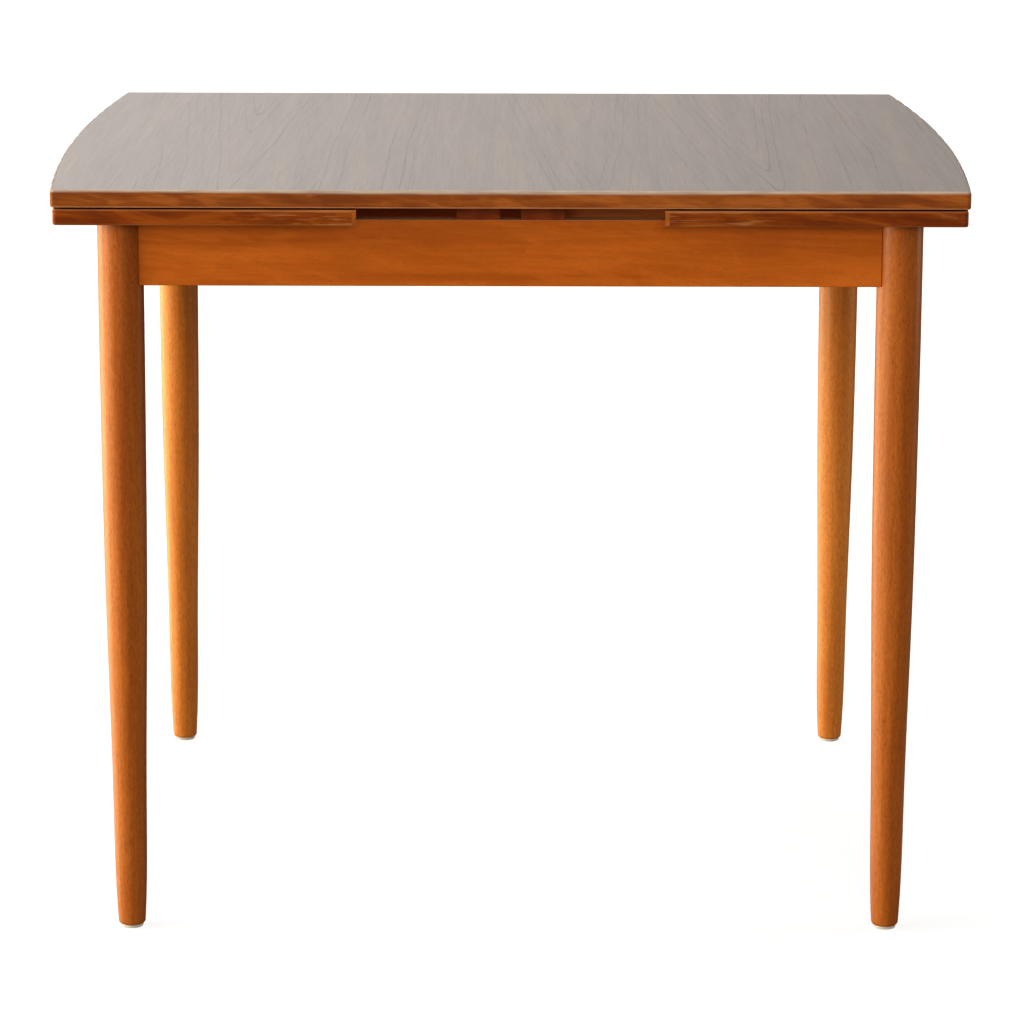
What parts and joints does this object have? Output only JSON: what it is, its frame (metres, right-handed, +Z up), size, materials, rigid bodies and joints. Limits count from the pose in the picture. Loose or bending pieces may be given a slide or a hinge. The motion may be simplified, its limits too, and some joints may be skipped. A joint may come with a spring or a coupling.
{
  "type": "draw leaf table",
  "caption": "Dining table with bowed ends on round tapered legs; a leaf draws out from under each end of its loose top.",
  "frame": {"origin": "on the floor under the middle of the table", "axes": "+X along the pull of the right leaf, +Y from the front apron to the back apron, +Z up"},
  "size_m": [0.8858, 0.8, 0.73],
  "materials": {
    "teak_veneer": "sliced teak veneer, satin lacquer",
    "teak_lipping": "solid teak, satin lacquer",
    "backing_veneer": "plain balancing veneer, bare",
    "chipboard": "bare",
    "beech_legs": "steamed beech, satin lacquer",
    "beech_aprons": "steamed beech, satin lacquer",
    "inner_boards": "stained beech, thin lacquer",
    "raw_beech": "bare, planed",
    "screw_steel": "dull steel",
    "strip_felt": "pressed wool felt",
    "foot_felt": "pressed wool felt"
  },
  "bodies": {
    "frame": {"front_left_leg": "beech_legs", "front_left_foot_pad": "foot_felt", "front_left_corner_block": "raw_beech", "front_right_leg": "beech_legs", "front_right_foot_pad": "foot_felt", "front_right_corner_block": "raw_beech", "back_left_leg": "beech_legs", "back_left_foot_pad": "foot_felt", "back_left_corner_block": "raw_beech", "back_right_leg": "beech_legs", "back_right_foot_pad": "foot_felt", "back_right_corner_block": "raw_beech", "front_apron": "beech_aprons", "back_apron": "beech_aprons", "left_end_apron": "beech_aprons", "right_end_apron": "beech_aprons", "apron_dowels": "raw_beech", "corner_block_screws": "screw_steel", "centre_bearer_screws": "screw_steel", "left_centre_bearer": "inner_boards", "right_centre_bearer": "inner_boards"},
    "table_top": {"top_core_board": "chipboard", "top_face_veneer": "teak_veneer", "top_back_veneer": "backing_veneer", "top_front_lipping": "teak_lipping", "top_back_lipping": "teak_lipping", "top_left_lipping": "teak_lipping", "top_right_lipping": "teak_lipping", "guide_batten": "inner_boards", "guide_batten_screws": "screw_steel", "lift_stop_front": "raw_beech", "lift_stop_back": "raw_beech", "lift_stop_screws": "screw_steel", "top_felt_strips": "strip_felt"},
    "left_leaf": {"left_leaf_core_board": "chipboard", "left_leaf_face_veneer": "teak_veneer", "left_leaf_back_veneer": "backing_veneer", "left_leaf_front_lipping": "teak_lipping", "left_leaf_back_lipping": "teak_lipping", "left_leaf_outer_lipping": "teak_lipping", "left_leaf_inner_lipping": "teak_lipping", "left_leaf_front_runner": "inner_boards", "left_leaf_back_runner": "inner_boards", "left_leaf_runner_screws": "screw_steel", "left_leaf_stop_pegs": "raw_beech"},
    "right_leaf": {"right_leaf_core_board": "chipboard", "right_leaf_face_veneer": "teak_veneer", "right_leaf_back_veneer": "backing_veneer", "right_leaf_front_lipping": "teak_lipping", "right_leaf_back_lipping": "teak_lipping", "right_leaf_outer_lipping": "teak_lipping", "right_leaf_inner_lipping": "teak_lipping", "right_leaf_front_runner": "inner_boards", "right_leaf_back_runner": "inner_boards", "right_leaf_runner_screws": "screw_steel", "right_leaf_stop_pegs": "raw_beech"}
  },
  "joints": [
    {"name": "left_leaf_slide", "type": "slide", "parent": "frame", "child": "left_leaf", "axis": [-1, 0, 0], "range_m": [0, 0.2835]},
    {"name": "right_leaf_slide", "type": "slide", "parent": "frame", "child": "right_leaf", "axis": [1, 0, 0], "range_m": [0, 0.2835]},
    {"name": "top_lift", "type": "slide", "parent": "frame", "child": "table_top", "axis": [0, 0, 1], "range_m": [0, 0.02]}
  ]
}
